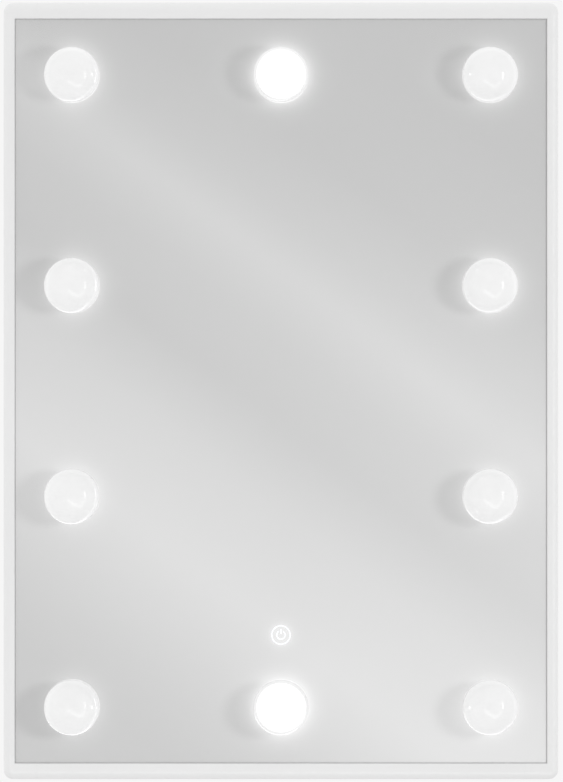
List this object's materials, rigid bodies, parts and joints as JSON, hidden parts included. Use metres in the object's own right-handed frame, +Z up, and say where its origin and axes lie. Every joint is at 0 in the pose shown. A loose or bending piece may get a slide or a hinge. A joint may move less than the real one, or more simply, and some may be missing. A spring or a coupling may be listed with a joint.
{
  "type": "lighted vanity mirror",
  "caption": "Upright wall mirror in a slim white frame, ringed by frosted globe bulbs that screw into the glass, with a touch switch icon near the bottom.",
  "frame": {"origin": "centre of the rear panel's wall face, on the wall plane", "axes": "+Z up the mirror, the mirror faces -Y, +Y into the wall, +X to the viewer's right"},
  "size_m": [0.5, 0.0928, 0.7],
  "materials": {
    "silvered_glass": "polished silvered float glass",
    "etched_icon": "etched through the silvering, lit from behind",
    "grey_rubber": "matt extruded seal",
    "white_coat": "satin white powder coat on aluminium",
    "white_corner": "satin white moulding",
    "zinc_steel": "zinc plated",
    "foamed_pvc": "matt foamed PVC sheet",
    "foam": "closed-cell foam, adhesive both sides",
    "rear_white": "fine texture",
    "holder_white": "moulded PBT",
    "brass": "rolled sheet",
    "silicone": "translucent silicone",
    "black_plastic": "moulded",
    "circuit_board": "solder mask with components",
    "cable_white": "PVC sheath",
    "opal_globe": "frosted opal, glossy outside",
    "bulb_white": "moulded collar; nickel cap and aluminium LED board inside the same node"
  },
  "bodies": {
    "case": {"mirror_pane": "silvered_glass", "touch_icon": "etched_icon", "glazing_seal": "grey_rubber", "frame_rail_left": "white_coat", "frame_rail_right": "white_coat", "frame_rail_top": "white_coat", "frame_rail_bottom": "white_coat", "frame_corner_top_left": "white_corner", "frame_corner_top_right": "white_corner", "frame_corner_bottom_left": "white_corner", "frame_corner_bottom_right": "white_corner", "corner_keys": "zinc_steel", "corner_key_screws": "zinc_steel", "backing_board": "foamed_pvc", "foam_tape": "foam", "rear_panel": "rear_white", "rear_panel_screws": "zinc_steel", "hanger_plates": "zinc_steel", "hanger_rivets": "zinc_steel", "lampholder_bodies": "holder_white", "lampholder_shells": "brass", "lampholder_contacts": "brass", "lampholder_nuts": "holder_white", "lampholder_washers": "silicone", "touch_switch_case": "holder_white", "touch_switch_board": "circuit_board", "dimmer_case": "holder_white", "dimmer_board": "circuit_board", "dc_jack": "black_plastic", "wiring_harness": "cable_white"},
    "ring_01": {"bulb_ring_01": "silicone"},
    "bulb_01": {"bulb_base_01": "bulb_white", "bulb_globe_01": "opal_globe"},
    "ring_02": {"bulb_ring_02": "silicone"},
    "bulb_02": {"bulb_base_02": "bulb_white", "bulb_globe_02": "opal_globe"},
    "ring_03": {"bulb_ring_03": "silicone"},
    "bulb_03": {"bulb_base_03": "bulb_white", "bulb_globe_03": "opal_globe"},
    "ring_04": {"bulb_ring_04": "silicone"},
    "bulb_04": {"bulb_base_04": "bulb_white", "bulb_globe_04": "opal_globe"},
    "ring_05": {"bulb_ring_05": "silicone"},
    "bulb_05": {"bulb_base_05": "bulb_white", "bulb_globe_05": "opal_globe"},
    "ring_06": {"bulb_ring_06": "silicone"},
    "bulb_06": {"bulb_base_06": "bulb_white", "bulb_globe_06": "opal_globe"},
    "ring_07": {"bulb_ring_07": "silicone"},
    "bulb_07": {"bulb_base_07": "bulb_white", "bulb_globe_07": "opal_globe"},
    "ring_08": {"bulb_ring_08": "silicone"},
    "bulb_08": {"bulb_base_08": "bulb_white", "bulb_globe_08": "opal_globe"},
    "ring_09": {"bulb_ring_09": "silicone"},
    "bulb_09": {"bulb_base_09": "bulb_white", "bulb_globe_09": "opal_globe"},
    "ring_10": {"bulb_ring_10": "silicone"},
    "bulb_10": {"bulb_base_10": "bulb_white", "bulb_globe_10": "opal_globe"}
  },
  "joints": [
    {"name": "bulb_01_travel", "type": "slide", "parent": "case", "child": "ring_01", "axis": [0, -1, 0], "range_m": [0, 0.0142]},
    {"name": "bulb_01_turn", "type": "hinge", "parent": "ring_01", "child": "bulb_01", "pos_m": [-0.1885, -0.04, 0.285], "axis": [0, -1, 0], "range_deg": [0, 1800]},
    {"name": "bulb_02_travel", "type": "slide", "parent": "case", "child": "ring_02", "axis": [0, -1, 0], "range_m": [0, 0.0142]},
    {"name": "bulb_02_turn", "type": "hinge", "parent": "ring_02", "child": "bulb_02", "pos_m": [-0.1885, -0.04, 0.095], "axis": [0, -1, 0], "range_deg": [0, 1800]},
    {"name": "bulb_03_travel", "type": "slide", "parent": "case", "child": "ring_03", "axis": [0, -1, 0], "range_m": [0, 0.0142]},
    {"name": "bulb_03_turn", "type": "hinge", "parent": "ring_03", "child": "bulb_03", "pos_m": [-0.1885, -0.04, -0.095], "axis": [0, -1, 0], "range_deg": [0, 1800]},
    {"name": "bulb_04_travel", "type": "slide", "parent": "case", "child": "ring_04", "axis": [0, -1, 0], "range_m": [0, 0.0142]},
    {"name": "bulb_04_turn", "type": "hinge", "parent": "ring_04", "child": "bulb_04", "pos_m": [-0.1885, -0.04, -0.285], "axis": [0, -1, 0], "range_deg": [0, 1800]},
    {"name": "bulb_05_travel", "type": "slide", "parent": "case", "child": "ring_05", "axis": [0, -1, 0], "range_m": [0, 0.0142]},
    {"name": "bulb_05_turn", "type": "hinge", "parent": "ring_05", "child": "bulb_05", "pos_m": [0.1885, -0.04, 0.285], "axis": [0, -1, 0], "range_deg": [0, 1800]},
    {"name": "bulb_06_travel", "type": "slide", "parent": "case", "child": "ring_06", "axis": [0, -1, 0], "range_m": [0, 0.0142]},
    {"name": "bulb_06_turn", "type": "hinge", "parent": "ring_06", "child": "bulb_06", "pos_m": [0.1885, -0.04, 0.095], "axis": [0, -1, 0], "range_deg": [0, 1800]},
    {"name": "bulb_07_travel", "type": "slide", "parent": "case", "child": "ring_07", "axis": [0, -1, 0], "range_m": [0, 0.0142]},
    {"name": "bulb_07_turn", "type": "hinge", "parent": "ring_07", "child": "bulb_07", "pos_m": [0.1885, -0.04, -0.095], "axis": [0, -1, 0], "range_deg": [0, 1800]},
    {"name": "bulb_08_travel", "type": "slide", "parent": "case", "child": "ring_08", "axis": [0, -1, 0], "range_m": [0, 0.0142]},
    {"name": "bulb_08_turn", "type": "hinge", "parent": "ring_08", "child": "bulb_08", "pos_m": [0.1885, -0.04, -0.285], "axis": [0, -1, 0], "range_deg": [0, 1800]},
    {"name": "bulb_09_travel", "type": "slide", "parent": "case", "child": "ring_09", "axis": [0, -1, 0], "range_m": [0, 0.0142]},
    {"name": "bulb_09_turn", "type": "hinge", "parent": "ring_09", "child": "bulb_09", "pos_m": [0, -0.04, 0.285], "axis": [0, -1, 0], "range_deg": [0, 1800]},
    {"name": "bulb_10_travel", "type": "slide", "parent": "case", "child": "ring_10", "axis": [0, -1, 0], "range_m": [0, 0.0142]},
    {"name": "bulb_10_turn", "type": "hinge", "parent": "ring_10", "child": "bulb_10", "pos_m": [0, -0.04, -0.285], "axis": [0, -1, 0], "range_deg": [0, 1800]}
  ],
  "couplings": [
    {"joint": "bulb_01_travel", "follows": "bulb_01_turn", "m_per_rad": 0.00044882},
    {"joint": "bulb_02_travel", "follows": "bulb_02_turn", "m_per_rad": 0.00044882},
    {"joint": "bulb_03_travel", "follows": "bulb_03_turn", "m_per_rad": 0.00044882},
    {"joint": "bulb_04_travel", "follows": "bulb_04_turn", "m_per_rad": 0.00044882},
    {"joint": "bulb_05_travel", "follows": "bulb_05_turn", "m_per_rad": 0.00044882},
    {"joint": "bulb_06_travel", "follows": "bulb_06_turn", "m_per_rad": 0.00044882},
    {"joint": "bulb_07_travel", "follows": "bulb_07_turn", "m_per_rad": 0.00044882},
    {"joint": "bulb_08_travel", "follows": "bulb_08_turn", "m_per_rad": 0.00044882},
    {"joint": "bulb_09_travel", "follows": "bulb_09_turn", "m_per_rad": 0.00044882},
    {"joint": "bulb_10_travel", "follows": "bulb_10_turn", "m_per_rad": 0.00044882}
  ]
}
